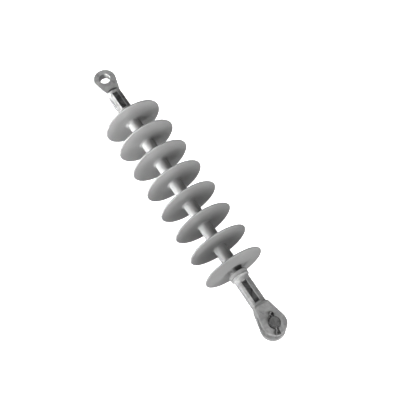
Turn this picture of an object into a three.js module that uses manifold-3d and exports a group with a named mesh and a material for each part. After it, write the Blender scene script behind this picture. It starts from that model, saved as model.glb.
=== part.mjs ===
// Composite dead-end insulator: silicone sheds on a glass-fibre rod, a flat tongue fitting at
// one end and a clevis fitting with its pin and cotter key at the other.
// Millimetres. +X runs from the tongue to the clevis, +Z is square to the tongue's flat faces,
// and the origin is on the rod's axis, half way along the overall length.
import * as THREE from 'three';
import { mergeVertices } from 'three/addons/utils/BufferGeometryUtils.js';
import Module from 'manifold-3d';

const wasm = await Module();
wasm.setup();

// ---- driving dimensions ------------------------------------------------------------------
const GAP = 0.3; // left between pieces that touch in the real object

const ROD_R = 8; // glass-fibre core rod, 16 mm
const SHEATH_R = 10.75; // silicone sheath over the rod
const SHED_COUNT = 8;
const SHED_PITCH = 42.5;
const SHED_R = 49;
const SHED_RIM = 2.8; // thickness at the rim
const SHED_ROOT = 6.6; // thickness where the shed meets its hub
const SHED_SIDES = 36; // flat side down, so that the part lies still
const LAST_SHED_X = 142.8; // clevis-facing rim plane of the last shed

const BARREL_R = 12.2; // crimped barrel of both fittings
const LIP_R = 14.6; // rolled lip at the barrel's mouth
const LIP_LENGTH = 4.5;
const BORE_R = ROD_R + GAP;
const SEAL_R = 15.4; // silicone bead between lip and sheath
const SEAL_LENGTH = 4.5;
const CRIMP_COUNT = 8;
const CRIMP_FACE = 11.45; // distance of a pressed flat from the axis
const CRIMP_TURN = -7.5; // degrees the crimping die was turned from upright

const HOLE_R = 9; // pin holes, 18 mm
const TONGUE_HOLE_X = -247.5;
const EYE_R = 18.5;
const TONGUE_THICK = 13;
const TONGUE_NECK = 11; // half width where the tongue meets its barrel
const TONGUE_MOUTH_X = -172.1;
const TONGUE_SHOULDER_X = -217;

const PIN_X = 247;
const EAR_R = 19;
const CLEVIS_THICK = 31; // over both ears
const JAW = 17; // clear width between the ears
const JAW_ROOT_X = 225;
const YOKE_NECK = 11.6; // half width where the yoke meets its barrel
const CLEVIS_MOUTH_X = 156.6;
const CLEVIS_SHOULDER_X = 211;

const PIN_R = 7.9;
const PIN_END_Z = 21.2;
const PIN_HEAD_R = 13;
const PIN_HEAD_THICK = 5;
const PIN_PLAY = 1.5; // the pin can lift this far before its head meets the ear
const KEY_HOLE_R = 2.3;
const KEY_LEG_WIDE = 1.5; // each leg seen from above
const KEY_LEG_TALL = 2.4;
const KEY_SPLIT = 0.2; // clear width between the two legs inside the pin
const KEY_Z = 17.6; // both legs' middle height, just clear of the upper ear
const KEY_TURN = -15; // degrees from the axis of the insulator

// ---- materials ---------------------------------------------------------------------------
function material(color, roughness, metalness) {
  return new THREE.MeshStandardMaterial({ color, roughness, metalness });
}

const SILICONE = [0x8f9294, 0.62, 0];
const GLASS_FIBRE = [0xc9c49a, 0.5, 0];
const GALVANISED = [0x8d9092, 0.5, 0.85];
const PIN_ZINC = [0x7d8083, 0.45, 0.85];
const STAINLESS = [0xa9abad, 0.35, 0.9];

// ---- small helpers -----------------------------------------------------------------------
const group = new THREE.Group();
group.name = 'composite_dead_end_insulator';

function add(name, geometry, look) {
  const mesh = new THREE.Mesh(geometry, material(...look));
  mesh.name = name;
  group.add(mesh);
}

function degrees(angle) {
  return (angle * Math.PI) / 180;
}

// Turned body about the X axis from a list of [radius, x] points.
function turned(points, sides) {
  const profile = points.map(([radius, x]) => new THREE.Vector2(radius, x));
  const geometry = new THREE.LatheGeometry(profile, sides, Math.PI / sides);
  geometry.rotateZ(-Math.PI / 2);
  return geometry;
}

function solid(geometry) {
  const plain = geometry.clone();
  plain.deleteAttribute('normal');
  plain.deleteAttribute('uv');
  const merged = mergeVertices(plain, 1e-4);
  return new wasm.Manifold(
    new wasm.Mesh({
      numProp: 3,
      vertProperties: new Float32Array(merged.attributes.position.array),
      triVerts: new Uint32Array(merged.index.array),
    }),
  );
}

function surface(body) {
  const mesh = body.getMesh();
  const geometry = new THREE.BufferGeometry();
  geometry.setAttribute('position', new THREE.BufferAttribute(mesh.vertProperties, 3));
  geometry.setIndex(new THREE.BufferAttribute(mesh.triVerts, 1));
  geometry.computeVertexNormals();
  return geometry;
}

function block(x0, x1, y0, y1, z0, z1) {
  const geometry = new THREE.BoxGeometry(x1 - x0, y1 - y0, z1 - z0);
  geometry.translate((x0 + x1) / 2, (y0 + y1) / 2, (z0 + z1) / 2);
  return geometry;
}

// Round bar along Z, used for pin holes.
function uprightBar(x, radius, z0, z1, sides) {
  const geometry = new THREE.CylinderGeometry(radius, radius, z1 - z0, sides);
  geometry.rotateX(Math.PI / 2);
  geometry.translate(x, 0, (z0 + z1) / 2);
  return geometry;
}

// Countersink that eases the edge of a pin hole at a face.
function easedEdge(x, z, outward) {
  const wide = HOLE_R + 0.6;
  const narrow = HOLE_R - 0.6;
  const geometry = new THREE.CylinderGeometry(outward > 0 ? wide : narrow,
    outward > 0 ? narrow : wide, 1.2, 32);
  geometry.rotateX(Math.PI / 2);
  geometry.translate(x, 0, z);
  return geometry;
}

// Plate outline: a round eye with straight sides running to a narrower neck.
function eyePlate(eyeX, radius, neckX, neck, endX, thick) {
  const reach = neckX - eyeX;
  const distance = Math.hypot(reach, neck);
  const side = Math.sign(reach);
  const first = Math.atan2(neck, Math.abs(reach)) + Math.acos(radius / distance);
  const outline = new THREE.Shape();
  const steps = 28;
  outline.moveTo(endX, neck);
  outline.lineTo(neckX, neck);
  for (let step = 0; step <= steps; step += 1) {
    const angle = first + ((2 * Math.PI - 2 * first) * step) / steps;
    outline.lineTo(eyeX + side * radius * Math.cos(angle), radius * Math.sin(angle));
  }
  outline.lineTo(neckX, -neck);
  outline.lineTo(endX, -neck);
  const geometry = new THREE.ExtrudeGeometry(outline, { depth: thick, bevelEnabled: false });
  geometry.translate(0, 0, -thick / 2);
  return geometry;
}

// The flats pressed round a barrel by the crimping die.
function crimped(body, x0, x1) {
  let result = body;
  for (let index = 0; index < CRIMP_COUNT; index += 1) {
    const flat = block(x0, x1, -6, 6, CRIMP_FACE, CRIMP_FACE + 6);
    flat.rotateX(degrees(-CRIMP_TURN) + (index * 2 * Math.PI) / CRIMP_COUNT);
    result = result.subtract(solid(flat));
  }
  return result;
}

// ---- insulating part ---------------------------------------------------------------------
function buildInsulation() {
  const rodStart = TONGUE_SHOULDER_X + 5;
  const rodEnd = CLEVIS_SHOULDER_X - 3;
  add('core_rod', turned([
    [0, rodStart],
    [ROD_R, rodStart],
    [ROD_R, rodEnd],
    [0, rodEnd],
  ], 20), GLASS_FIBRE);

  const sheathStart = TONGUE_MOUTH_X + GAP;
  const sheathEnd = CLEVIS_MOUTH_X - GAP;
  add('sheath', turned([
    [ROD_R + GAP, sheathStart],
    [SHEATH_R, sheathStart],
    [SHEATH_R, sheathEnd],
    [ROD_R + GAP, sheathEnd],
    [ROD_R + GAP, sheathStart],
  ], 24), SILICONE);

  // One shed: nearly flat towards the clevis, sloping away towards the tongue, with a hub
  // that runs out into the sheath on both sides.
  const bore = SHEATH_R + GAP;
  for (let number = 1; number <= SHED_COUNT; number += 1) {
    const x = LAST_SHED_X - (SHED_COUNT - number) * SHED_PITCH;
    add(`shed_${number}`, turned([
      [bore, x - SHED_ROOT - 4],
      [bore + 0.6, x - SHED_ROOT - 4],
      [bore + 2.6, x - SHED_ROOT - 0.6],
      [SHED_R - 0.9, x - SHED_RIM],
      [SHED_R, x - SHED_RIM / 2],
      [SHED_R - 0.9, x],
      [bore + 2.4, x + 0.9],
      [bore + 0.6, x + 3.4],
      [bore, x + 3.4],
      [bore, x - SHED_ROOT - 4],
    ], SHED_SIDES), SILICONE);
  }

  for (const [name, start] of [
    ['tongue_end_seal', TONGUE_MOUTH_X + GAP],
    ['clevis_end_seal', CLEVIS_MOUTH_X - GAP - SEAL_LENGTH],
  ]) {
    const end = start + SEAL_LENGTH;
    add(name, turned([
      [bore, start],
      [SEAL_R - 0.9, start],
      [SEAL_R, start + 0.9],
      [SEAL_R, end - 0.9],
      [SEAL_R - 0.9, end],
      [bore, end],
      [bore, start],
    ], 28), SILICONE);
  }
}

// ---- tongue fitting ----------------------------------------------------------------------
function buildTongueFitting() {
  const lipEnd = TONGUE_MOUTH_X - LIP_LENGTH;
  const barrel = solid(turned([
    [0, TONGUE_SHOULDER_X - 4],
    [6.6, TONGUE_SHOULDER_X - 4],
    [9.9, TONGUE_SHOULDER_X - 3],
    [11.7, TONGUE_SHOULDER_X - 1],
    [BARREL_R, TONGUE_SHOULDER_X + 1.5],
    [BARREL_R, lipEnd],
    [LIP_R - 0.5, lipEnd + 0.4],
    [LIP_R, lipEnd + 1.4],
    [LIP_R, TONGUE_MOUTH_X - 1],
    [LIP_R - 0.8, TONGUE_MOUTH_X],
    [BORE_R, TONGUE_MOUTH_X],
    [BORE_R, TONGUE_SHOULDER_X + 5 - GAP],
    [0, TONGUE_SHOULDER_X + 5 - GAP],
  ], 40));
  const plate = solid(eyePlate(TONGUE_HOLE_X, EYE_R, TONGUE_SHOULDER_X - 2, TONGUE_NECK,
    TONGUE_SHOULDER_X + 2, TONGUE_THICK));
  const hole = solid(uprightBar(TONGUE_HOLE_X, HOLE_R, -TONGUE_THICK, TONGUE_THICK, 32));
  let body = crimped(barrel, -213, -180).add(plate).subtract(hole);
  body = body.subtract(solid(easedEdge(TONGUE_HOLE_X, TONGUE_THICK / 2, 1)));
  body = body.subtract(solid(easedEdge(TONGUE_HOLE_X, -TONGUE_THICK / 2, -1)));
  add('tongue_fitting', surface(body), GALVANISED);
}

// ---- clevis fitting ----------------------------------------------------------------------
function buildClevisFitting() {
  const half = CLEVIS_THICK / 2;
  const lipEnd = CLEVIS_MOUTH_X + LIP_LENGTH;
  const boreEnd = CLEVIS_SHOULDER_X - 3 + GAP;
  const barrel = solid(turned([
    [0, boreEnd],
    [BORE_R, boreEnd],
    [BORE_R, CLEVIS_MOUTH_X],
    [LIP_R - 0.8, CLEVIS_MOUTH_X],
    [LIP_R, CLEVIS_MOUTH_X + 1],
    [LIP_R, lipEnd - 1.4],
    [LIP_R - 0.5, lipEnd - 0.4],
    [BARREL_R, lipEnd],
    [BARREL_R, CLEVIS_SHOULDER_X + 4],
    [0, CLEVIS_SHOULDER_X + 4],
  ], 40));
  const outline = solid(eyePlate(PIN_X, EAR_R, CLEVIS_SHOULDER_X + 2, YOKE_NECK,
    CLEVIS_SHOULDER_X - 1, CLEVIS_THICK + 2));
  // Side view of the yoke, with its shoulders sloping down to the barrel.
  const side = new THREE.Shape();
  side.moveTo(CLEVIS_SHOULDER_X - 2.5, -BARREL_R + 0.6);
  side.lineTo(CLEVIS_SHOULDER_X + 1.5, -half);
  side.lineTo(PIN_X + EAR_R + 1, -half);
  side.lineTo(PIN_X + EAR_R + 1, half);
  side.lineTo(CLEVIS_SHOULDER_X + 1.5, half);
  side.lineTo(CLEVIS_SHOULDER_X - 2.5, BARREL_R - 0.6);
  const sideGeometry = new THREE.ExtrudeGeometry(side, { depth: 60, bevelEnabled: false });
  sideGeometry.rotateX(Math.PI / 2);
  sideGeometry.translate(0, 30, 0);
  const yoke = outline.intersect(solid(sideGeometry));

  const rootX = JAW_ROOT_X + JAW / 2;
  const jaw = solid(block(rootX, PIN_X + EAR_R + 5, -40, 40, -JAW / 2, JAW / 2));
  const root = new THREE.CylinderGeometry(JAW / 2, JAW / 2, 80, 24);
  root.translate(rootX, 0, 0);
  let body = crimped(barrel, 169.6, 207.2).add(yoke).subtract(jaw).subtract(solid(root));
  body = body.subtract(solid(uprightBar(PIN_X, HOLE_R, -half - 2, half + 2, 32)));
  body = body.subtract(solid(easedEdge(PIN_X, half, 1)));
  body = body.subtract(solid(easedEdge(PIN_X, -half, -1)));
  add('clevis_fitting', surface(body), GALVANISED);
}

// ---- clevis pin and its cotter key -------------------------------------------------------
function buildClevisPin() {
  const headTop = -CLEVIS_THICK / 2 - PIN_PLAY;
  const headBottom = headTop - PIN_HEAD_THICK;
  const shank = turned([
    [0, headBottom],
    [PIN_HEAD_R - 1.2, headBottom],
    [PIN_HEAD_R, headBottom + 1.2],
    [PIN_HEAD_R, headTop - 0.6],
    [PIN_HEAD_R - 0.6, headTop],
    [PIN_R, headTop],
    [PIN_R, PIN_END_Z - 0.9],
    [PIN_R - 0.9, PIN_END_Z],
    [0, PIN_END_Z],
  ], 32);
  shank.rotateY(-Math.PI / 2);
  shank.translate(PIN_X, 0, 0);
  const hole = new THREE.CylinderGeometry(KEY_HOLE_R, KEY_HOLE_R, 40, 16);
  hole.rotateZ(Math.PI / 2);
  hole.rotateZ(degrees(KEY_TURN));
  hole.translate(PIN_X, 0, KEY_Z);
  add('clevis_pin', surface(solid(shank).subtract(solid(hole))), PIN_ZINC);
}

// One length of wire folded in two: both legs pass through the pin, with an eye at the fold
// and the free ends spread apart. Its outline is drawn in plan and given its height.
function buildCotterKey() {
  const middle = (KEY_SPLIT + KEY_LEG_WIDE) / 2;
  const stations = [
    [20.6, -6.6],
    [17.6, -5.2],
    [14.4, -3.6],
    [11.6, -1.8],
    [9.8, -middle],
    [3, -middle],
    [-3, -middle],
    [-9.2, -middle],
    [-10.8, -1.9],
    [-12.6, -3.3],
    [-15, -3.6],
    [-17.2, -2.4],
    [-18.2, 0],
    [-17.2, 2.4],
    [-15, 3.6],
    [-12.6, 3.3],
    [-10.8, 1.9],
    [-9.2, middle],
    [-3, middle],
    [3, middle],
    [9.8, middle],
    [12.2, 1.7],
    [15, 3.1],
    [17.8, 4.4],
  ];
  const points = stations.map(([along, across]) => new THREE.Vector3(along, across, 0));
  const path = new THREE.CatmullRomCurve3(points, false, 'centripetal');
  const steps = 72;
  const near = [];
  const far = [];
  for (let step = 0; step <= steps; step += 1) {
    const spot = path.getPoint(step / steps);
    const way = path.getTangent(step / steps);
    const half = KEY_LEG_WIDE / 2;
    near.push(new THREE.Vector2(spot.x + way.y * half, spot.y - way.x * half));
    far.push(new THREE.Vector2(spot.x - way.y * half, spot.y + way.x * half));
  }
  const outline = new THREE.Shape([...near, ...far.reverse()]);
  const wire = new THREE.ExtrudeGeometry(outline, {
    depth: KEY_LEG_TALL,
    bevelEnabled: false,
  });
  wire.rotateZ(degrees(KEY_TURN));
  wire.translate(PIN_X, 0, KEY_Z - KEY_LEG_TALL / 2);
  add('cotter_key', surface(solid(wire)), STAINLESS);
}

buildInsulation();
buildTongueFitting();
buildClevisFitting();
buildClevisPin();
buildCotterKey();

export default group;
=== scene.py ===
# Composite dead-end insulator: silicone sheds on a glass-fibre rod, with a forged tongue and a
# forged clevis crimped on its ends, and a clevis pin held by a split cotter key.
# Everything is in metres, in the row's frame; shapes are worked out in millimetres first.
import math

import bpy
import numpy as np
from mathutils import Matrix, Vector


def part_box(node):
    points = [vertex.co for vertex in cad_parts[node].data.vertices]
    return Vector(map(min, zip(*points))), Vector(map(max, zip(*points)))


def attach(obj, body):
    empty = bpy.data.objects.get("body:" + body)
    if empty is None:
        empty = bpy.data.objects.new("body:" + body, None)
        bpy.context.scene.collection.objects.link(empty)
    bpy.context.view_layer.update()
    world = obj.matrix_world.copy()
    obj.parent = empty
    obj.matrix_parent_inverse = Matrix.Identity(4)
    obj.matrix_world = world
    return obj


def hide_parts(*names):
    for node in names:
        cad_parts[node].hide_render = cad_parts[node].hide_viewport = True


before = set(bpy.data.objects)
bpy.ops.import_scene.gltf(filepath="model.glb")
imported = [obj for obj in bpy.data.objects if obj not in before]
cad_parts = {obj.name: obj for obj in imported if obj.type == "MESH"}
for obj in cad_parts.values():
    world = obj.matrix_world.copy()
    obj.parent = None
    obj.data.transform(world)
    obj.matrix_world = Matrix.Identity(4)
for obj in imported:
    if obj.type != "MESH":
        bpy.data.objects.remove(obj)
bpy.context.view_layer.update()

MM = 0.001
SCENE = bpy.context.scene

# ---- real sizes, in millimetres ----------------------------------------------------------
SHED_COUNT = 8
SHED_R = 49.0
SHED_RIM = 2.8  # thickness at the rim
SHED_HUB_OUT = 3.4  # how far the hub runs out on the clevis side
SHED_SWAY = 0.22  # how far a rim strays from flat
SHEATH_R = 10.75
SHEATH_SKIN = 0.12  # between the sheath and the hub moulded on it
SEAL_R = 15.4
BARREL_R = 12.2
LIP_R = 14.6
LIP_LENGTH = 4.5
SEAL_OVER_LIP = 1.3  # how far the bead hides the lip's end
LIP_START = SEAL_OVER_LIP - 0.15
BORE_R = 8.3
CRIMP_COUNT = 8
CRIMP_FACE = 11.4  # distance of a pressed flat from the axis
CRIMP_HALF_WIDTH = 3.75
HOLE_R = 8.8
HOLE_CHAMFER = 0.7
EYE_R = 18.5
EAR_R = 19.0
TONGUE_HALF = 6.5
TONGUE_NECK_R = 10.6
TONGUE_BARREL = 48.5  # from the mouth to the shoulder
TONGUE_CRIMPS = (7.5, 40.5)  # from the shoulder
TONGUE_CRIMP_TURN = -2.0  # degrees
CLEVIS_HALF = 15.5
CLEVIS_NECK_R = 11.4
CLEVIS_BARREL = 54.4
CLEVIS_CRIMPS = (13.0, 50.6)  # from the mouth
CLEVIS_CRIMP_TURN = -7.5
JAW_HALF = 8.5
JAW_ROOT = 22.5  # from the shoulder to the centre of the jaw's round root
PIN_R = 7.9
PIN_HEAD_R = 13.0
PIN_HEAD = 5.0
PIN_CHAMFER = 0.35
KEY_HOLE_R = 2.3
KEY_LEG_R = 1.75  # half-round legs
KEY_TURN = -15.0  # degrees
FORGING_CELL = 0.55  # mesh size on the forgings
PIN_CELL = 0.42


# ---- materials ---------------------------------------------------------------------------
NOISE = "ShaderNodeTexNoise"
RAMP = "ShaderNodeValToRGB"
MIX = "ShaderNodeMix"
MATHS = "ShaderNodeMath"
BUMP = "ShaderNodeBump"
ATTRIBUTE = "ShaderNodeAttribute"


def linear(hex_colour):
    """An sRGB hex colour as linear red, green, blue, alpha."""
    parts = [int(hex_colour[i : i + 2], 16) / 255 for i in (1, 3, 5)]
    return [c / 12.92 if c <= 0.04045 else ((c + 0.055) / 1.055) ** 2.4 for c in parts] + [1]


def per_mm(size):
    """Scale of a pattern whose features are about size mm across."""
    return 1 / (size * MM)


def node(tree, kind, inputs=None, out=0, stops=(), **settings):
    """Adds a node with its settings and gives back one of its outputs, or itself if out is None.

    inputs are links or values by socket name or number; stops are a colour ramp's places, each
    with a colour or a grey level.
    """
    made = tree.nodes.new(kind)
    for key, value in settings.items():
        setattr(made, key, value)
    for socket, value in (inputs or {}).items():
        if isinstance(value, bpy.types.NodeSocket):
            tree.links.new(value, made.inputs[socket])
        else:
            made.inputs[socket].default_value = value
    if stops:
        band = made.color_ramp.elements
        while len(band) < len(stops):
            band.new(0.5)
        for element, (spot, colour) in zip(band, stops):
            element.position = spot
            element.color = colour if isinstance(colour, list) else [colour, colour, colour, 1]
    return made if out is None else made.outputs[out]


def start_material(name):
    """An empty node material, its tree and the piece's own coordinates."""
    material = bpy.data.materials.new(name)
    material.use_nodes = True
    tree = material.node_tree
    tree.nodes.clear()
    return material, tree, node(tree, "ShaderNodeTexCoord", out="Object")


def finish_material(material, inputs):
    tree = material.node_tree
    surface = node(tree, "ShaderNodeBsdfPrincipled", inputs)
    node(tree, "ShaderNodeOutputMaterial", {0: surface}, out=None)
    return material


def silicone_material():
    # High-temperature silicone rubber, compression moulded: an even mid grey with a soft sheen,
    # a faint chalky bloom, and a skin as fine as the blasted mould it came from. Painted shade and
    # shadow lie dark where an attribute on the piece says.
    material, tree, coords = start_material("moulded_silicone_rubber")
    bloom = node(
        tree,
        NOISE,
        {"Vector": coords, "Scale": per_mm(26), "Detail": 5, "Roughness": 0.6, "Distortion": 0.4},
    )
    # The mould's grit is finer than 0.2 mm, and is drawn at 1.1 mm so that it shows.
    soft = {"Vector": coords, "Detail": 2, "Roughness": 0.5}
    specks = node(tree, NOISE, {**soft, "Scale": per_mm(1.1)})
    swell = node(tree, NOISE, {**soft, "Scale": per_mm(9)})
    greys = [(0.3, linear("#8a8a8a")), (0.55, linear("#919191")), (0.8, linear("#989898"))]
    colour = node(tree, RAMP, {0: bloom}, stops=greys)
    dust = node(tree, RAMP, {0: specks}, stops=[(0.52, 0.0), (0.8, 0.35)])
    colour = node(tree, MIX, {0: dust, 6: colour, 7: linear("#a0a0a0")}, 2, data_type="RGBA")
    # Painted shade and shadow darken the rubber.
    painted_shade = node(tree, ATTRIBUTE, out="Fac", attribute_name="painted_shade")
    colour = node(tree, MIX, {0: painted_shade, 6: colour, 7: linear("#2b2b2a")}, 2, data_type="RGBA")
    relief = node(tree, BUMP, {"Height": swell, "Distance": 0.12 * MM, "Strength": 1.0})
    relief = node(
        tree, BUMP, {"Height": specks, "Distance": 0.03 * MM, "Strength": 1.0, "Normal": relief}
    )
    sheen = node(tree, RAMP, {0: bloom}, stops=[(0.3, 0.46), (0.8, 0.62)])
    return finish_material(
        material, {"Base Color": colour, "Roughness": sheen, "IOR": 1.43, "Normal": relief}
    )


def galvanised_material():
    # Hot-dip galvanised forged steel: dull mottled grey zinc with patches of paler and darker
    # crystals. Three attributes change it: a dark painted reflection on the crimped flats, which
    # are smoother and more metallic; a painted highlight on a hole's wall; and painted shade and
    # shadow.
    material, tree, coords = start_material("hot_dip_galvanised_steel")
    spangle = node(
        tree,
        "ShaderNodeTexVoronoi",
        {"Vector": coords, "Scale": per_mm(4.5), "Randomness": 1.0},
        "Color",
    )
    grain = node(tree, RAMP, {0: spangle}, stops=[(0.1, 0.42), (0.9, 0.6)])
    blotch = node(
        tree,
        NOISE,
        {"Vector": coords, "Scale": per_mm(12), "Detail": 6, "Roughness": 0.62, "Distortion": 0.6},
    )
    fine = node(
        tree, NOISE, {"Vector": coords, "Scale": per_mm(1.4), "Detail": 4, "Roughness": 0.6}
    )
    pressed_and_dark_reflection = node(tree, ATTRIBUTE, out="Fac", attribute_name="pressed_and_dark_reflection")
    painted_glint = node(tree, ATTRIBUTE, out="Fac", attribute_name="painted_glint")
    painted_shade = node(tree, ATTRIBUTE, out="Fac", attribute_name="painted_shade")

    zinc = [(0.32, linear("#838383")), (0.5, linear("#9e9e9e")), (0.7, linear("#b3b3b2"))]
    colour = node(tree, RAMP, {0: blotch}, stops=zinc)
    overlay = {"data_type": "RGBA", "blend_type": "OVERLAY"}
    colour = node(tree, MIX, {0: 0.35, 6: colour, 7: grain}, 2, **overlay)
    dark = [(0.38, linear("#3c3c3c")), (0.62, linear("#808080"))]
    dark_reflection = node(tree, RAMP, {0: blotch}, stops=dark)
    # A painted dark reflection on the crimped flats, which are also smoother and more metallic.
    share = node(tree, MATHS, {0: pressed_and_dark_reflection, 1: 0.9}, operation="MULTIPLY")
    colour = node(tree, MIX, {0: share, 6: colour, 7: dark_reflection}, 2, data_type="RGBA")
    # A painted highlight, light grey.
    colour = node(tree, MIX, {0: painted_glint, 6: colour, 7: linear("#e6e6e4")}, 2, data_type="RGBA")
    breaks = node(tree, RAMP, {0: fine}, stops=[(0.3, 0.75), (0.6, 1.0)])
    # Painted shade and shadow, broken up by fine noise.
    patchy = node(tree, MATHS, {0: painted_shade, 1: breaks}, operation="MULTIPLY")
    colour = node(tree, MIX, {0: patchy, 6: colour, 7: linear("#121110")}, 2, data_type="RGBA")

    dull = node(tree, RAMP, {0: fine}, stops=[(0.3, 0.52), (0.75, 0.7)])
    share = node(tree, MATHS, {0: pressed_and_dark_reflection, 1: 0.85}, operation="MULTIPLY")
    rough = node(tree, MIX, {0: share, 2: dull, 3: 0.36})
    rough = node(tree, MIX, {0: patchy, 2: rough, 3: 0.85})
    metal = node(tree, MATHS, {0: pressed_and_dark_reflection, 1: 0.6, 2: 0.2}, operation="MULTIPLY_ADD")
    clean = node(tree, MATHS, {0: 1.0, 1: patchy}, operation="SUBTRACT")
    metal = node(tree, MATHS, {0: metal, 1: clean}, operation="MULTIPLY")
    relief = node(tree, BUMP, {"Height": blotch, "Distance": 0.22 * MM, "Strength": 1.0})
    relief = node(
        tree, BUMP, {"Height": fine, "Distance": 0.09 * MM, "Strength": 1.0, "Normal": relief}
    )
    return finish_material(
        material, {"Base Color": colour, "Roughness": rough, "Metallic": metal, "Normal": relief}
    )


def pin_material():
    # Turned steel pin, zinc dipped: smoother than the forgings, with faint tool rings, and dark
    # with painted shade where an attribute says.
    material, tree, coords = start_material("zinc_dipped_turned_steel")
    squeezed = node(tree, "ShaderNodeMapping", {0: coords, "Scale": (0.4, 0.4, 6.0)})
    # Real tool marks are 0.2 mm apart, and are drawn at about 0.8 mm so that they show.
    rings = node(
        tree, NOISE, {"Vector": squeezed, "Scale": per_mm(5), "Detail": 2, "Roughness": 0.5}
    )
    stain = node(
        tree,
        NOISE,
        {"Vector": coords, "Scale": per_mm(6), "Detail": 5, "Roughness": 0.6, "Distortion": 0.5},
    )
    grit = node(
        tree, NOISE, {"Vector": coords, "Scale": per_mm(1.2), "Detail": 3, "Roughness": 0.6}
    )
    zinc = [(0.3, linear("#7b7b7b")), (0.6, linear("#979797")), (0.8, linear("#aaaaaa"))]
    colour = node(tree, RAMP, {0: stain}, stops=zinc)
    # Painted shade darkens the pin.
    painted_shade = node(tree, ATTRIBUTE, out="Fac", attribute_name="painted_shade")
    colour = node(tree, MIX, {0: painted_shade, 6: colour, 7: linear("#121110")}, 2, data_type="RGBA")
    metal = node(tree, MATHS, {0: painted_shade, 1: -0.8, 2: 0.8}, operation="MULTIPLY_ADD")
    rough = node(tree, RAMP, {0: stain}, stops=[(0.3, 0.36), (0.8, 0.55)])
    relief = node(tree, BUMP, {"Height": rings, "Distance": 0.05 * MM, "Strength": 1.0})
    relief = node(
        tree, BUMP, {"Height": grit, "Distance": 0.05 * MM, "Strength": 1.0, "Normal": relief}
    )
    return finish_material(
        material, {"Base Color": colour, "Roughness": rough, "Metallic": metal, "Normal": relief}
    )


def wire_material():
    # Stainless spring wire, drawn half round and a little dull from the weather, with painted
    # shade dark where an attribute says.
    material, tree, coords = start_material("drawn_stainless_wire")
    lines = node(
        tree,
        NOISE,
        {"Vector": coords, "Scale": per_mm(2.5), "Detail": 3, "Roughness": 0.6, "Distortion": 0.2},
    )
    steel = [(0.3, linear("#7c7c7c")), (0.7, linear("#9a9a9a"))]
    colour = node(tree, RAMP, {0: lines}, stops=steel)
    # Painted shade darkens the wire.
    painted_shade = node(tree, ATTRIBUTE, out="Fac", attribute_name="painted_shade")
    colour = node(tree, MIX, {0: painted_shade, 6: colour, 7: linear("#1d1c1b")}, 2, data_type="RGBA")
    rough = node(tree, RAMP, {0: lines}, stops=[(0.3, 0.45), (0.7, 0.6)])
    relief = node(tree, BUMP, {"Height": lines, "Distance": 0.03 * MM, "Strength": 1.0})
    return finish_material(
        material, {"Base Color": colour, "Roughness": rough, "Metallic": 0.6, "Normal": relief}
    )


def rod_material():
    # Pultruded glass fibre in resin: straw coloured, with fibres running along the rod.
    material, tree, coords = start_material("pultruded_glass_fibre")
    drawn_out = node(tree, "ShaderNodeMapping", {0: coords, "Scale": (0.03, 1.0, 1.0)})
    fibres = node(
        tree, NOISE, {"Vector": drawn_out, "Scale": per_mm(1), "Detail": 3, "Roughness": 0.6}
    )
    straw = [(0.3, linear("#a79f6c")), (0.7, linear("#d4cda2"))]
    colour = node(tree, RAMP, {0: fibres}, stops=straw)
    relief = node(tree, BUMP, {"Height": fibres, "Distance": 0.05 * MM, "Strength": 1.0})
    return finish_material(material, {"Base Color": colour, "Roughness": 0.4, "Normal": relief})


SILICONE = silicone_material()
GALVANISED = galvanised_material()
PIN_STEEL = pin_material()
WIRE = wire_material()
GLASS_FIBRE = rod_material()


# ---- making and placing pieces -----------------------------------------------------------
def mesh_piece(name, points, faces, material, smooth=True):
    """A mesh object from points in millimetres."""
    mesh = bpy.data.meshes.new(name)
    corners = faces.tolist() if isinstance(faces, np.ndarray) else faces
    mesh.from_pydata((np.asarray(points) * MM).tolist(), [], corners)
    mesh.materials.append(material)
    mesh.polygons.foreach_set("use_smooth", [smooth] * len(mesh.polygons))
    mesh.update()
    piece = bpy.data.objects.new(name, mesh)
    SCENE.collection.objects.link(piece)
    return piece


def place(piece, body, slot, *nodes):
    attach(piece, body)
    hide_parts(*nodes)


def ring_faces(rings, sides, closed=True):
    """Quads between rings of points; closed joins the last ring to the first."""
    return [
        (
            ring * sides + side,
            ring * sides + (side + 1) % sides,
            (ring + 1) % rings * sides + (side + 1) % sides,
            (ring + 1) % rings * sides + side,
        )
        for ring in range(rings if closed else rings - 1)
        for side in range(sides)
    ]


def turned(name, profile, sides, material):
    """A closed body of revolution about X, from a closed loop of (radius, x) points."""
    radius, along = np.array(profile, float).T
    angles = np.linspace(0, 2 * math.pi, sides, endpoint=False)
    y = np.outer(np.sin(angles), radius).ravel()
    z = np.outer(np.cos(angles), radius).ravel()
    points = np.stack([np.tile(along, sides), y, z], -1)
    return mesh_piece(name, points, ring_faces(sides, len(radius)), material)


def arc(centre_r, centre_x, radius, start, stop, steps):
    """Points on an arc in the (radius, x) plane, angles in degrees from the radius axis."""
    angles = np.radians(np.linspace(start, stop, steps))
    return [(centre_r + radius * math.cos(a), centre_x + radius * math.sin(a)) for a in angles]


# ---- the sheds, by Geometry Nodes --------------------------------------------------------
# The section's x is kept in a curve whose values run from 0 to 1, so it is scaled and shifted.
CURVE_DEPTH = 20.0
CURVE_ZERO = 0.7
WELD = 0.002  # points closer than this become one


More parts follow.
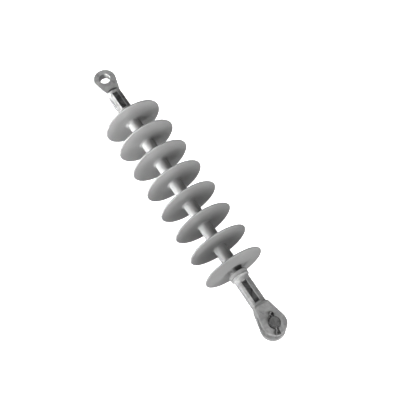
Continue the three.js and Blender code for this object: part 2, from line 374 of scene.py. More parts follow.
def shed_profile():
    """The shed's section as (height over the bore, x behind the clevis-facing plane), one loop."""
    bore = SHEATH_R + SHEATH_SKIN
    rim = SHED_RIM / 2
    points = [(bore, 0.0), (bore, -4.0), (bore, -8.0), (bore, -12.2)]
    points += [(bore + 0.15, -12.3), (bore + 0.35, -11.6)]
    points += [(bore + 0.8, -9.6), (bore + 1.7, -8.2), (bore + 3.2, -7.2), (bore + 6.0, -6.5)]
    points += [(SHED_R - 24, -5.4), (SHED_R - 12, -4.2), (SHED_R - 4, -3.2)]
    points += arc(SHED_R - rim - 0.12, -rim, rim, -80, -8, 5)
    points += [(SHED_R, -rim)]  # the mould's parting line
    points += arc(SHED_R - rim - 0.12, -rim, rim, 8, 80, 5)
    points += [(SHED_R - 4, -0.05), (SHED_R - 12, 0.15), (SHED_R - 24, 0.5), (bore + 6.5, 0.95)]
    points += [(bore + 3.2, 1.25), (bore + 1.6, 1.9), (bore + 0.7, 2.8), (bore + 0.3, SHED_HUB_OUT)]
    points += [(bore + 0.1, SHED_HUB_OUT + 0.1)]
    return np.array(points)


def shed_tree():
    """Tree that turns the shed's section round the rod; the inputs are its sizes in metres."""
    tree = bpy.data.node_groups.new("moulded shed", "GeometryNodeTree")
    sockets = {}
    for label, kind in (
        ("Sides", "NodeSocketInt"),
        ("Steps", "NodeSocketInt"),
        ("Rim radius", "NodeSocketFloat"),
        ("Bore radius", "NodeSocketFloat"),
        ("Face x", "NodeSocketFloat"),
        ("Depth", "NodeSocketFloat"),
        ("Sway", "NodeSocketFloat"),
        ("Sway turn", "NodeSocketFloat"),
        ("Material", "NodeSocketMaterial"),
    ):
        made = tree.interface.new_socket(name=label, in_out="INPUT", socket_type=kind)
        sockets[label] = made.identifier
    tree.interface.new_socket(name="Geometry", in_out="OUTPUT", socket_type="NodeSocketGeometry")
    given = node(tree, "NodeGroupInput", out=None).outputs
    columns = node(tree, MATHS, {0: given["Sides"], 1: 1.0}, operation="ADD")
    rows = node(tree, MATHS, {0: given["Steps"], 1: 1.0}, operation="ADD")
    grid = node(tree, "GeometryNodeMeshGrid", {"Vertices X": columns, "Vertices Y": rows})
    # The grid is one metre square round zero: its x becomes the turn, its y the way round the loop.
    where = node(tree, "GeometryNodeInputPosition")
    apart = node(tree, "ShaderNodeSeparateXYZ", {0: where}, out=None).outputs
    share = node(tree, MATHS, {0: apart[0], 1: 0.5}, operation="ADD")
    turn = node(tree, MATHS, {0: share, 1: 2 * math.pi}, operation="MULTIPLY")
    along = node(tree, MATHS, {0: apart[1], 1: 0.5}, operation="ADD")

    section = shed_profile()
    loop = np.vstack([section, section[:1]])
    travel = np.concatenate([[0], np.cumsum(np.hypot(*np.diff(loop, axis=0).T))])
    travel /= travel[-1]
    bore = section[:, 0].min()
    heights = (loop[:, 0] - bore) / (section[:, 0].max() - bore)
    offsets = CURVE_ZERO + loop[:, 1] / CURVE_DEPTH
    curves = []
    for values in (heights, offsets):
        made = node(tree, "ShaderNodeFloatCurve", {"Value": along}, out=None)
        curve = made.mapping.curves[0]
        for spot, value in zip(travel[1:-1], values[1:-1]):
            curve.points.new(spot, value)
        curve.points[0].location = (0, values[0])
        curve.points[-1].location = (1, values[-1])
        for point in curve.points:
            point.handle_type = "VECTOR"
        made.mapping.update()
        curves.append(made.outputs[0])
    height, offset = curves

    span = node(
        tree, MATHS, {0: given["Rim radius"], 1: given["Bore radius"]}, operation="SUBTRACT"
    )
    rise = node(tree, MATHS, {0: height, 1: span}, operation="MULTIPLY")
    radius = node(tree, MATHS, {0: given["Bore radius"], 1: rise}, operation="ADD")
    offset = node(tree, MATHS, {0: offset, 1: CURVE_ZERO}, operation="SUBTRACT")
    behind = node(tree, MATHS, {0: offset, 1: given["Depth"]}, operation="MULTIPLY")
    # A thin silicone disc never lies quite flat: its rim sways a little, in three waves.
    waves = node(tree, MATHS, {0: turn, 1: 3.0}, operation="MULTIPLY")
    waves = node(tree, MATHS, {0: waves, 1: given["Sway turn"]}, operation="ADD")
    waves = node(tree, MATHS, {0: waves}, operation="SINE")
    waves = node(tree, MATHS, {0: waves, 1: given["Sway"]}, operation="MULTIPLY")
    outwards = node(tree, MATHS, {0: height, 1: 2.0}, operation="POWER")
    sway = node(tree, MATHS, {0: waves, 1: outwards}, operation="MULTIPLY")
    x = node(tree, MATHS, {0: given["Face x"], 1: behind}, operation="ADD")
    x = node(tree, MATHS, {0: x, 1: sway}, operation="ADD")
    sine = node(tree, MATHS, {0: turn}, operation="SINE")
    cosine = node(tree, MATHS, {0: turn}, operation="COSINE")
    y = node(tree, MATHS, {0: radius, 1: sine}, operation="MULTIPLY")
    z = node(tree, MATHS, {0: radius, 1: cosine}, operation="MULTIPLY")
    point = node(tree, "ShaderNodeCombineXYZ", {0: x, 1: y, 2: z})
    shape = node(tree, "GeometryNodeSetPosition", {"Geometry": grid, "Position": point})
    shape = node(tree, "GeometryNodeMergeByDistance", {"Geometry": shape, "Distance": WELD * MM})
    shape = node(tree, "GeometryNodeSetShadeSmooth", {"Geometry": shape})
    shape = node(tree, "GeometryNodeRealizeInstances", {"Geometry": shape})
    shape = node(
        tree, "GeometryNodeSetMaterial", {"Geometry": shape, "Material": given["Material"]}
    )
    node(tree, "NodeGroupOutput", {0: shape}, out=None)
    return tree, sockets


def mesh_points(mesh):
    points = np.zeros(len(mesh.vertices) * 3)
    mesh.vertices.foreach_get("co", points)
    return points.reshape(-1, 3)


def add_layer(piece, name, values):
    layer = piece.data.attributes.new(name, "FLOAT", "POINT")
    layer.data.foreach_set("value", np.asarray(values, np.float32))


def outward(mesh):
    """Turns a closed mesh's faces out, if they point in."""
    points = mesh_points(mesh)
    mesh.calc_loop_triangles()
    corners = np.zeros(len(mesh.loop_triangles) * 3, int)
    mesh.loop_triangles.foreach_get("vertices", corners)
    a, b, c = points[corners.reshape(-1, 3)].transpose(1, 0, 2)
    if np.einsum("ij,ij->", a, np.cross(b, c)) < 0:
        mesh.flip_normals()


def plain_mesh(piece, name):
    """The evaluated piece as a mesh object with no modifier left on it."""
    graph = bpy.context.evaluated_depsgraph_get()
    mesh = bpy.data.meshes.new_from_object(piece.evaluated_get(graph))
    mesh.name = name
    outward(mesh)
    final = bpy.data.objects.new(name, mesh)
    SCENE.collection.objects.link(final)
    bpy.data.objects.remove(piece)
    return final


def painted_groove_shade(points):
    """1 where shade is painted in the groove behind the clevis-end bead, on the side away from the
    key light.
    """
    x, y, z = points.T
    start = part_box("shed_8")[1].x / MM - SHED_HUB_OUT
    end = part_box("clevis_end_seal")[0].x / MM
    turn = np.degrees(np.arctan2(y, z))
    side = np.clip(1.5 - 1.5 * ((turn - 42) / 78) ** 2, 0, 1)
    depth = np.clip((x - start - 1.5) / 0.8, 0, 1) * (x < end + 1.3)
    radius = np.hypot(y, z)
    groove = side * depth * np.where(x < end - 0.2, np.clip((13.6 - radius) / 1.8, 0, 1), 1)
    # A painted shadow of the bead lies on the shed's face too, on the same side.
    bead_shadow = np.clip(1 - ((turn - 122) / 38) ** 2, 0, 1) * np.clip(1 - np.abs(radius - 20) / 9, 0, 1)
    return np.maximum(groove, 0.55 * bead_shadow * (x > start - 1.0))


def build_sheds():
    tree, sockets = shed_tree()
    for number in range(1, SHED_COUNT + 1):
        face_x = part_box(f"shed_{number}")[1].x - SHED_HUB_OUT * MM
        start = mesh_piece("shed_start", [(0, 0, 0)], [], SILICONE)
        modifier = start.modifiers.new("shed", "NODES")
        modifier.node_group = tree
        for label, value in (
            ("Sides", 180),
            ("Steps", 120),
            ("Rim radius", SHED_R * MM),
            ("Bore radius", (SHEATH_R + SHEATH_SKIN) * MM),
            ("Face x", face_x),
            ("Depth", CURVE_DEPTH * MM),
            ("Sway", SHED_SWAY * MM),
            ("Sway turn", 1.9 * number),
            ("Material", SILICONE),
        ):
            modifier[sockets[label]] = value
        piece = plain_mesh(start, f"moulded_shed_{number}")
        if number == SHED_COUNT:
            # Painted shade and shadow near the clevis-end bead.
            add_layer(piece, "painted_shade", painted_groove_shade(mesh_points(piece.data) / MM))
        place(piece, "insulator", "silicone", f"shed_{number}")


# ---- sheath and end beads ----------------------------------------------------------------
def build_sheath():
    low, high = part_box("sheath")
    start, end = low.x / MM, high.x / MM
    sides, steps = 240, 40
    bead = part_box("clevis_end_seal")[0].x / MM
    # More rings near the bead, so that the painted shade there has an edge.
    extra = bead - np.array([5.6, 4.9, 4.2, 1, 0])
    xs = np.sort(np.append(np.linspace(start, end, steps), extra))
    angles = np.linspace(0, 2 * math.pi, sides, endpoint=False)
    # The two mould halves leave a fine raised line along the top and the bottom.
    line = 0.14 * np.exp(-((np.degrees(np.abs(np.sin(angles + 0.6))) / 1.8) ** 2))
    rings = [(x, SHEATH_R + line) for x in xs] + [(x, np.full(sides, BORE_R)) for x in xs[::-1]]
    points = np.vstack(
        [
            np.stack([np.full(sides, x), radius * np.sin(angles), radius * np.cos(angles)], -1)
            for x, radius in rings
        ]
    )
    piece = mesh_piece("moulded_sheath", points, ring_faces(len(rings), sides), SILICONE)
    outward(piece.data)
    # Painted shade and shadow near the clevis-end bead.
    add_layer(piece, "painted_shade", painted_groove_shade(points))
    place(piece, "insulator", "silicone", "sheath")


def build_seals():
    for name, way in (("tongue_end_seal", -1), ("clevis_end_seal", 1)):
        low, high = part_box(name)
        start, end = (low.x / MM, high.x / MM) if way > 0 else (high.x / MM, low.x / MM)
        length = abs(end - start) + SEAL_OVER_LIP
        bore = SHEATH_R + 0.1
        loop = [(bore, 0.0), (bore, length), (SEAL_R - 1.4, length)]
        loop += arc(SEAL_R - 0.9, length - 0.55, 0.5, 85, 10, 4)
        loop += [(SEAL_R - 0.25, length * 0.6)]
        loop += arc(SEAL_R - 1.7, 1.8, 1.7, 5, -85, 8)
        loop += [(bore + 2.2, 0.15), (bore + 1.0, 0.0)]
        profile = [(radius, start + way * x) for radius, x in loop]
        piece = turned(name.replace("seal", "bead"), profile, 96, SILICONE)
        outward(piece.data)
        # Painted shade and shadow near the clevis-end bead.
        add_layer(piece, "painted_shade", painted_groove_shade(mesh_points(piece.data) / MM))
        place(piece, "insulator", "silicone", name)


# ---- forged pieces, from distance fields -------------------------------------------------
def joined(first, second, blend):
    """Union of two distance fields with a fillet of about blend mm."""
    share = np.clip(0.5 + 0.5 * (second - first) / blend, 0, 1)
    return second * (1 - share) + first * share - blend * share * (1 - share)


def common(first, second, blend):
    """Intersection of two distance fields with an edge eased by about blend mm."""
    return -joined(-first, -second, blend)


def cut(first, second, blend):
    return common(first, -second, blend)


def tapered_outline(x, y, neck_x, neck, eye_x, eye):
    """Distance to a round eye joined to a smaller round neck by straight sides."""
    reach = abs(eye_x - neck_x)
    way = math.copysign(1, eye_x - neck_x)
    along, across = (x - neck_x) * way, np.abs(y)
    slope = (neck - eye) / reach
    level = math.sqrt(1 - slope * slope)
    part = along * level - across * slope
    near_neck = np.hypot(along, across) - neck
    near_eye = np.hypot(along - reach, across) - eye
    side = across * level + along * slope - neck
    return np.where(part < 0, near_neck, np.where(part > level * reach, near_eye, side))


def flat_frame(y, z, index, turn):
    """Heights over the axis and places across, for one of the flats crimped round a barrel."""
    angle = math.radians(-turn) + index * 2 * math.pi / CRIMP_COUNT
    height = -y * math.sin(angle) + z * math.cos(angle)
    return height, y * math.cos(angle) + z * math.sin(angle)


def barrel_field(x, y, z, mouth, shoulder, crimps, turn):
    """Crimped barrel with its rolled lip at the mouth; mouth may be at either end."""
    way = math.copysign(1, shoulder - mouth)
    radius = np.hypot(y, z)
    from_mouth = (x - mouth) * way
    length = abs(shoulder - mouth)
    shell = np.maximum(radius - BARREL_R, LIP_START - from_mouth)
    shell = common(shell, from_mouth - length, 3.2)
    centre, half = sum(crimps) / 2, abs(crimps[1] - crimps[0]) / 2
    # Metal squeezed out between the dies stands a little proud of the plain barrel.
    ridge = np.maximum(radius - BARREL_R - 0.3, np.abs(x - centre) - half + 0.8)
    shell = joined(shell, ridge, 0.8)
    for index in range(CRIMP_COUNT):
        height, across = flat_frame(y, z, index, turn)
        die = common(np.abs(x - centre) - half, np.abs(across) - CRIMP_HALF_WIDTH, 2.0)
        die = common(die, CRIMP_FACE - height, 0.5)
        shell = cut(shell, die, 0.5)
    lip_ends = np.abs(from_mouth - (LIP_START + LIP_LENGTH) / 2) - (LIP_LENGTH - LIP_START) / 2
    lip = common(radius - LIP_R - 0.2, lip_ends, 1.2)
    return joined(shell, lip, 2.0)


def pin_hole(x, y, z, half):
    """Round hole through a plate that is half thick each way, with both its edges chamfered."""
    flare = np.maximum(np.abs(z) - (half - HOLE_CHAMFER), 0) * 0.7
    return np.hypot(x, y) - HOLE_R - flare


def bored(field, x, y, z, mouth, bottom):
    way = math.copysign(1, bottom - mouth)
    bore = np.maximum(np.hypot(y, z) - BORE_R, (x - bottom) * way)
    bore = np.maximum(bore, (mouth - x) * way - 5)
    return cut(field, bore, 0.3)


def pressed_reflection_mask(points, crimps, turn, weights):
    """How far each flat is burnished, and painted dark in place of the dark reflection it gives:
    weights names the flats painted darkest.
    """
    x, y, z = points.T
    centre, half = sum(crimps) / 2, abs(crimps[1] - crimps[0]) / 2
    mask = np.zeros(len(points))
    for index in range(CRIMP_COUNT):
        height, across = flat_frame(y, z, index, turn)
        on = (height > CRIMP_FACE - 0.9) & (height < CRIMP_FACE + 0.35)
        on &= (np.abs(across) < CRIMP_HALF_WIDTH + 0.15) & (np.abs(x - centre) < half + 0.2)
        mask = np.maximum(mask, on * weights.get(index, 0.12))
    return mask


def painted_barrel_bands(points, crimps, bands):
    """Faint painted shade in bands along a barrel's crimped length: bands are (middle, half width,
    strength), degrees from the top.
    """
    x, y, z = points.T
    turn = np.degrees(np.arctan2(-y, z))
    centre, half = sum(crimps) / 2, abs(crimps[1] - crimps[0]) / 2
    along = np.clip((half + 2 - np.abs(x - centre)) / 2, 0, 1)
    painted_dark = 0
    for middle, width, strength in bands:
        painted_dark = painted_dark + strength * np.clip((width - np.abs(turn - middle)) / 6, 0, 1)
    return along * painted_dark


def net(field, low, high, cell):
    """Closed quad mesh on the zero level of a distance field, inside a box in millimetres."""
    axes = [np.arange(low[i], high[i] + cell, cell) for i in range(3)]
    grid = np.meshgrid(*axes, indexing="ij")
    level = field(*grid)
    inside = level < 0
    shape = np.array(level.shape) - 1
    total = np.zeros((*shape, 3))
    hits = np.zeros(tuple(shape))
    crossings = []
    for axis in range(3):
        lower = tuple(slice(None, -1) if i == axis else slice(None) for i in range(3))
        upper = tuple(slice(1, None) if i == axis else slice(None) for i in range(3))
        changed = inside[lower] != inside[upper]
        first, second = level[lower], level[upper]
        share = np.where(changed, first / np.where(changed, first - second, 1), 0)
        others = [i for i in range(3) if i != axis]
        for da in (0, 1):
            for db in (0, 1):
                take = [slice(None)] * 3
                for other, shift in zip(others, (da, db)):
                    take[other] = slice(shift, changed.shape[other] - 1 + shift)
                take = tuple(take)
                here = changed[take]
                hits += here
                total[..., axis] += np.where(here, share[take], 0)
                for other, shift in zip(others, (da, db)):
                    total[..., other] += here * shift
        crossings.append((axis, others, changed, inside[lower]))
    used = hits > 0
    number = np.full(tuple(shape), -1)
    number[used] = np.arange(used.sum())
    cells = np.argwhere(used)
    points = np.array(low) + cell * (cells + total[used] / hits[used][:, None])
    faces = []
    for axis, others, changed, starts_inside in crossings:
        spots = np.argwhere(changed)
        spots = spots[(spots[:, others] > 0).all(1) & (spots[:, others] < shape[others]).all(1)]
        ring = []
        for da, db in ((1, 1), (0, 1), (0, 0), (1, 0)):
            corner = spots.copy()
            corner[:, others[0]] -= da
            corner[:, others[1]] -= db
            ring.append(number[tuple(corner.T)])
        quad = np.stack(ring, -1)
        flip = starts_inside[tuple(spots.T)] == (axis == 1)
        quad[flip] = quad[flip][:, ::-1]
        faces.append(quad)
    # Slide each point along the field's slope onto its zero level.
    for _ in range(4):
        here = field(*points.T)
        nudges = np.eye(3) * 0.05
        rises = [field(*(points + nudge).T) - field(*(points - nudge).T) for nudge in nudges]
        slope = np.stack(rises, -1) / 0.1
        size = np.maximum((slope**2).sum(1), 0.2)
        points = points - np.clip(here / size, -0.3 * cell, 0.3 * cell)[:, None] * slope
    return points, np.vstack(faces)


def painted_pin_shade(points, pin_x):
    """1 where shade and shadow are painted round the pin, in the cotter key's eye and between its
    legs.
    """
    x, y, z = points.T
    x = x - pin_x
    turn = math.radians(KEY_TURN)
    along = x * math.cos(turn) + y * math.sin(turn)
    across = -x * math.sin(turn) + y * math.cos(turn)
    ring = np.clip((9.9 - np.hypot(x, y)) / 0.9, 0, 1) * np.clip(0.88 - along * 0.03, 0.7, 1)
    eye = np.clip((3.6 - np.hypot((along + 11.3) * 0.62, across - 0.3)) / 0.7, 0, 1)
    legs = np.clip((2.6 + (along - 9) * 0.14 - np.abs(across - 0.9)) / 0.8, 0, 1)
    legs *= (along > 7.5) & (along < 18.8)
    return np.maximum(np.maximum(ring, eye), legs * 0.9) * (z > CLEVIS_HALF - 2.5)


def build_tongue():
    low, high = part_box("tongue_fitting")
    tip, mouth = low.x / MM, high.x / MM
    eye_x = tip + EYE_R
    shoulder = mouth - TONGUE_BARREL
    crimps = [shoulder + end for end in TONGUE_CRIMPS]

    def field(x, y, z):
        barrel = barrel_field(x, y, z, mouth, shoulder, crimps, TONGUE_CRIMP_TURN)
        outline = tapered_outline(x, y, shoulder + 4, TONGUE_NECK_R, eye_x, EYE_R)
        plate = common(outline, np.abs(z) - TONGUE_HALF, 1.8)
        # The forging dies met at mid thickness and left a fine trimmed line there.
        flash = common(outline - 0.28, np.abs(z) - 0.5, 0.4)
        plate = joined(plate, flash, 0.5)
        plate = np.maximum(plate, x - shoulder - 8)
        body = joined(barrel, plate, 0.7)
        body = cut(body, pin_hole(x - eye_x, y, z, TONGUE_HALF), 0.5)
        return bored(body, x, y, z, mouth, shoulder + 9)

    points, faces = net(field, (tip - 1.2, -20, -16), (mouth + 1.2, 20, 16), FORGING_CELL)
    piece = mesh_piece("forged_tongue", points, faces, GALVANISED)
    outward(piece.data)
    # The painted dark reflection is heaviest on the flat that faces up.
    weights = {0: 1.0, 7: 0.7, 1: 0.65, 2: 0.6}
    add_layer(piece, "pressed_and_dark_reflection", pressed_reflection_mask(points, crimps, TONGUE_CRIMP_TURN, weights))
    # A highlight is painted on the hole's wall on the side facing the light, and shade on the rest.
    x, y, z = points.T
    radius = np.hypot(x - eye_x, y)
    wall = np.clip((HOLE_R + 0.75 - radius) / 0.4, 0, 1)
    faces_light = np.clip((y / radius - 0.3) / 0.35, 0, 1)
    add_layer(piece, "painted_glint", wall * faces_light)
    # A painted shadow lies along the neck, where the flat tongue meets the barrel.
    neck = 1.25 - np.hypot((x - shoulder + 0.6) / 3.4, (y - 0.5) / 7.5)
    painted_dark = np.clip(neck / 0.35, 0, 0.95) * (z > TONGUE_HALF - 1)
    painted_dark = np.maximum(painted_dark, 0.5 * wall * (1 - faces_light))
    # Faint painted shade in a band along the crimped barrel, too.
    add_layer(piece, "painted_shade", np.maximum(painted_dark, painted_barrel_bands(points, crimps, [(42, 13, 0.2)])))
    place(piece, "insulator", "galvanised_steel", "tongue_fitting")


def build_clevis():
    low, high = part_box("clevis_fitting")
    mouth, tip = low.x / MM, high.x / MM
    pin_x = tip - EAR_R
    shoulder = mouth + CLEVIS_BARREL
    crimps = [mouth + end for end in CLEVIS_CRIMPS]

    def field(x, y, z):
        barrel = barrel_field(x, y, z, mouth, shoulder + 6, crimps, CLEVIS_CRIMP_TURN)
        outline = tapered_outline(x, y, shoulder + 2, CLEVIS_NECK_R, pin_x, EAR_R)
        yoke = common(outline, np.abs(z) - CLEVIS_HALF, 1.8)
        back = shoulder - x + np.maximum(np.abs(z) - 12, 0) * 0.7
        yoke = common(yoke, back, 2.6)
        body = joined(barrel, yoke, 1.6)
        root = shoulder + JAW_ROOT
        jaw = np.where(x > root, np.abs(z) - JAW_HALF, np.hypot(x - root, z) - JAW_HALF)
        body = cut(body, jaw, 1.2)
        body = cut(body, pin_hole(x - pin_x, y, z, CLEVIS_HALF), 0.5)
        return bored(body, x, y, z, mouth, shoulder - 2.7)

    points, faces = net(field, (mouth - 1.2, -20.5, -17), (tip + 1.2, 20.5, 17), FORGING_CELL)
    piece = mesh_piece("forged_clevis", points, faces, GALVANISED)
    outward(piece.data)
    # The painted dark reflection is heaviest on the flat that faces up.
    weights = {0: 1.0, 1: 0.25, 2: 0.3}
    add_layer(piece, "pressed_and_dark_reflection", pressed_reflection_mask(points, crimps, CLEVIS_CRIMP_TURN, weights))
    # Painted shade in bands along the barrel, and round the pin.
    painted_dark = painted_barrel_bands(points, crimps, [(40, 17, 0.33), (104, 16, 0.3)])
    add_layer(piece, "painted_shade", np.maximum(painted_dark, painted_pin_shade(points, pin_x)))
    place(piece, "insulator", "galvanised_steel", "clevis_fitting")


# ---- clevis pin and cotter key -----------------------------------------------------------
def build_pin():
    low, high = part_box("clevis_pin")
    pin_x = (low.x + high.x) / 2 / MM
    bottom, top = low.z / MM, high.z / MM
    key_z = key_height()
    turn = math.radians(KEY_TURN)

    def field(x, y, z):
        x = x - pin_x
        radius = np.hypot(x, y)
        shank = common(radius - PIN_R, z - top, 0.5)
        chamfer = (radius - PIN_R + z - top + PIN_CHAMFER) * 0.7071  # at 45 degrees
        shank = common(shank, chamfer, 0.5)
        shank = np.maximum(shank, bottom + 2 - z)
        head = common(radius - PIN_HEAD_R, np.abs(z - bottom - PIN_HEAD / 2) - PIN_HEAD / 2, 1.4)
        body = joined(shank, head, 0.8)
        across = -x * math.sin(turn) + y * math.cos(turn)
        hole = np.hypot(across, z - key_z) - KEY_HOLE_R
        hole = hole - np.maximum(radius - PIN_R + 1, 0) * 0.35  # its ends are countersunk
        return cut(body, hole, 0.3)

    reach = PIN_HEAD_R + 1
    near, far = (pin_x - reach, -reach, bottom - 1), (pin_x + reach, reach, top + 1)
    points, faces = net(field, near, far, PIN_CELL)
    piece = mesh_piece("turned_clevis_pin", points, faces, PIN_STEEL)
    outward(piece.data)
    # The painted shade round the hole darkens the rim of the pin's end too.
    rim = np.clip((np.hypot(points[:, 0] - pin_x, points[:, 1]) - 6.7) / 0.7, 0, 1)
    add_layer(piece, "painted_shade", 0.85 * rim * (points[:, 2] > top - 1.5))
    place(piece, "pin", "galvanised_steel", "clevis_pin")


def key_height():
    low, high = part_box("cotter_key")
    return (low.z + high.z) / 2 / MM


# The path of the key's wire, seen along the pin: from the end of the long leg out round the eye,
# and back to the end of the short leg. The two halves of the wire lie flat against each other.
LONG_LEG = [(20.4, -5.2), (17.8, -3.9), (14.6, -2.7), (11.8, -1.5), (9.8, -0.12)]
SHORT_LEG = [(9.8, 0.12), (12.2, 0.8), (15, 1.9), (17.6, 3.0)]
HALF_LOOP = [(3, -0.12), (-3, -0.12), (-8.4, -0.12), (-9.3, -1.1), (-10.9, -2.5), (-13.2, -2.9)]
HALF_LOOP += [(-15.0, -1.8)]
EYE_END = [(-15.6, 0)]
KEY_PATH = LONG_LEG + HALF_LOOP + EYE_END + [(x, -y) for x, y in HALF_LOOP[::-1]] + SHORT_LEG


def smooth_path(stations, per_span):
    """Points along a Catmull-Rom curve through the stations."""
    stations = np.asarray(stations, float)
    ends = np.vstack([2 * stations[0] - stations[1], stations, 2 * stations[-1] - stations[-2]])
    path = []
    for a, b, c, d in zip(ends, ends[1:], ends[2:], ends[3:]):
        for t in np.linspace(0, 1, per_span, endpoint=False):
            bend = (2 * a - 5 * b + 4 * c - d) * t**2 + (3 * b - a - 3 * c + d) * t**3
            path.append(0.5 * (2 * b + (c - a) * t + bend))
    path.append(stations[-1])
    return np.array(path)


def build_key():
    low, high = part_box("clevis_pin")
    pin_x = (low.x + high.x) / 2 / MM
    path = smooth_path(KEY_PATH, 6)
    ways = np.gradient(path, axis=0)
    ways /= np.hypot(*ways.T)[:, None]
    # The flat side of the half-round wire runs along the path, its round side faces out.
    outside = np.stack([ways[:, 1], -ways[:, 0]], -1)
    section = [(0.0, z) for z in np.linspace(0.9, -0.9, 5) * KEY_LEG_R * 0.95]
    angles = np.radians(np.linspace(-72, 72, 11))
    section += [(KEY_LEG_R * math.cos(a) * 0.98, KEY_LEG_R * math.sin(a)) for a in angles]
    points = []
    key_z = key_height()
    turn = math.radians(KEY_TURN)
    spin = np.array([[math.cos(turn), -math.sin(turn)], [math.sin(turn), math.cos(turn)]])
    count = len(section)
    last = len(path) - 1
    for index, (spot, side) in enumerate(zip(path, outside)):
        # The cut ends are dressed to a blunt point.
        taper = min(1.0, 0.62 + 0.19 * min(index, last - index))
        for out, up in section:
            flat = spin @ (spot + side * out * taper)
            points.append((pin_x + flat[0], flat[1], key_z + up * taper))
    faces = ring_faces(len(path), count, closed=False)
    start_cap, end_cap = len(points), len(points) + 1
    end_ring = last * count
    points = np.array(points)
    caps = [points[:count].mean(0), points[end_ring:].mean(0)]
    points = np.vstack([points, caps])
    for step in range(count):
        ahead = (step + 1) % count
        faces.append((start_cap, ahead, step))
        faces.append((end_cap, end_ring + step, end_ring + ahead))
    piece = mesh_piece("split_cotter_key", points, faces, WIRE)
    outward(piece.data)
    # The side of the eye and the leg turned from the light have painted shade.
    spots = (points[:, :2] - [pin_x, 0]) @ spin
    shaded = (np.abs(spots[:, 0]) > 8.6) & (spots[:, 1] > 0.35)
    add_layer(piece, "painted_shade", shaded * 0.85)
    place(piece, "key", "stainless_steel", "cotter_key")


# ---- camera, floor and light -------------------------------------------------------------
STAGE_R = 8000
STAGE_SIDES = 48
TENT_RINGS = 12
TABLE_GAP = 0.3  # clear space under the sheds' rims


def build_camera():
    """The camera stands off from the middle of the sheds, at a distance in shed radii."""
    sheds_x = (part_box("shed_1")[1].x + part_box("shed_8")[1].x) / 2 - SHED_HUB_OUT * MM
    right = Vector((0.5316, 0.8470, 0.0))
    up = Vector((-0.7645, 0.4798, 0.4305))
    back = right.cross(up).normalized()
    camera = bpy.data.cameras.new("camera")
    camera.sensor_width = 36
    camera.lens = 76.14
    camera.clip_start, camera.clip_end = 0.05, 100
    holder = bpy.data.objects.new("camera", camera)
    stand = Vector((sheds_x, 0, 0)) + Vector((10.258, -5.751, 24.046)) * SHED_R * MM
    turn = Matrix((right, up, back)).transposed().to_4x4()
    holder.matrix_world = Matrix.Translation(stand) @ turn
    SCENE.collection.objects.link(holder)
    SCENE.camera = holder


def area_light(name, spot, aim, size, power, spread=180):
    """A softbox aimed at a point; a small spread in degrees makes it a beam."""
    light = bpy.data.lights.new(name, "AREA")
    light.shape = "RECTANGLE"
    light.size, light.size_y = size
    light.energy = power
    light.spread = math.radians(spread)
    holder = bpy.data.objects.new(name, light)
    turn = (Vector(aim) - Vector(spot)).to_track_quat("-Z", "Y").to_matrix().to_4x4()
    holder.matrix_world = Matrix.Translation(Vector(spot)) @ turn
    holder.visible_camera = False
    SCENE.collection.objects.link(holder)


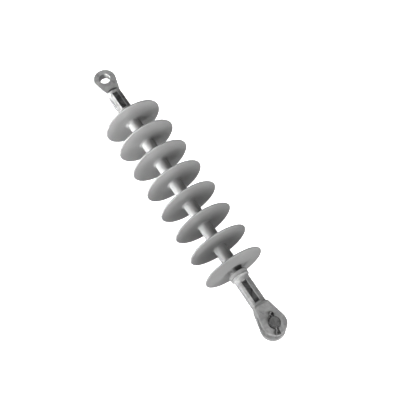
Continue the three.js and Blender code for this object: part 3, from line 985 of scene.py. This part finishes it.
def build_stage():
    # The table is burnt out to white, and clear from underneath so that the underside is seen.
    table, tree, _ = start_material("matte_white_table")
    under = node(tree, "ShaderNodeNewGeometry", out="Backfacing")
    above = node(tree, MATHS, {0: 1.0, 1: under}, operation="SUBTRACT")
    glow = {"Roughness": 0.9, "Emission Color": linear("#ffffff"), "Emission Strength": 1.0}
    painted = {"Base Color": linear("#f4f4f4"), "Specular IOR Level": 0.1, "Alpha": above}
    finish_material(table, {**glow, **painted})
    angles = np.linspace(0, 2 * math.pi, STAGE_SIDES, endpoint=False)
    circle = np.stack([np.cos(angles), np.sin(angles), np.zeros(STAGE_SIDES)], -1) * STAGE_R
    edge = circle + [0, 0, -SHED_R - TABLE_GAP]
    floor = mesh_piece("table", edge, [tuple(range(STAGE_SIDES))], table, smooth=False)
    # A white paper tent over the table.
    paper, _, _ = start_material("white_paper_tent")
    finish_material(paper, {**glow, "Base Color": linear("#000000"), "Specular IOR Level": 0.0})
    rises = np.radians(np.linspace(-5, 88, TENT_RINGS))
    rings = [circle * math.cos(rise) + [0, 0, STAGE_R * math.sin(rise)] for rise in rises]
    faces = ring_faces(TENT_RINGS, STAGE_SIDES, closed=False)
    tent = mesh_piece("tent", np.vstack(rings), faces, paper, smooth=False)
    # Neither lights the object: its light comes from the softboxes and the world.
    for part in (floor, tent):
        part.visible_diffuse = False
        part.visible_glossy = False
        part.visible_shadow = False
    world = bpy.data.worlds.new("studio")
    world.use_nodes = True
    tree = world.node_tree
    way = node(tree, "ShaderNodeTexCoord", out="Generated")
    height = node(tree, "ShaderNodeSeparateXYZ", {0: way}, 2)
    height = node(tree, MATHS, {0: height, 1: 0.5, 2: 0.5}, operation="MULTIPLY_ADD")
    grey = node(tree, RAMP, {0: height}, stops=[(0.47, 0.27), (0.53, 0.03)])
    tree.links.new(grey, tree.nodes["Background"].inputs[0])
    SCENE.world = world
    SCENE.view_settings.view_transform = "Standard"
    # Softboxes: a long low key on the left, broad fills past the clevis, and weak ones behind.
    area_light("key_strip", (-0.1, -0.5, -0.005), (-0.1, 0, 0), (0.36, 0.12), 1.6, 74)
    area_light("key_high", (0.1, -0.65, 0.35), (-0.12, 0, 0), (0.3, 0.3), 0.5, 60)
    area_light("key_back", (-0.55, -0.7, 0.1), (-0.2, 0, 0), (0.3, 0.3), 0.3, 60)
    area_light("fill_front", (1.7, 0.0, 0.85), (0, 0, 0), (1.27, 1.13), 26)
    area_light("fill_front_left", (1.7, -0.85, 0.2), (0, 0, 0), (1.13, 0.85), 9.2)
    area_light("fill_front_right", (1.35, 0.6, 1.2), (0, 0, 0), (1.0, 1.0), 11)
    area_light("fill_right", (0.0, 1.0, 0.1), (0, 0, 0), (0.8, 0.8), 0.4)
    area_light("fill_back", (-1.1, 0.6, 0.4), (0, 0, 0), (0.6, 0.6), 3.0)
    area_light("eye_glint", (-0.37, -0.55, 0.13), (-0.262, 0, 0), (0.1, 0.1), 0.028, 20)
    area_light("fill_top", (0.5, 0.1, 1.1), (0, 0, 0), (0.6, 0.6), 1.15)


build_camera()
build_sheath()
build_sheds()
build_seals()
build_tongue()
build_clevis()
build_pin()
build_key()
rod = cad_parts["core_rod"]
rod.data.materials.clear()
rod.data.materials.append(GLASS_FIBRE)
build_stage()
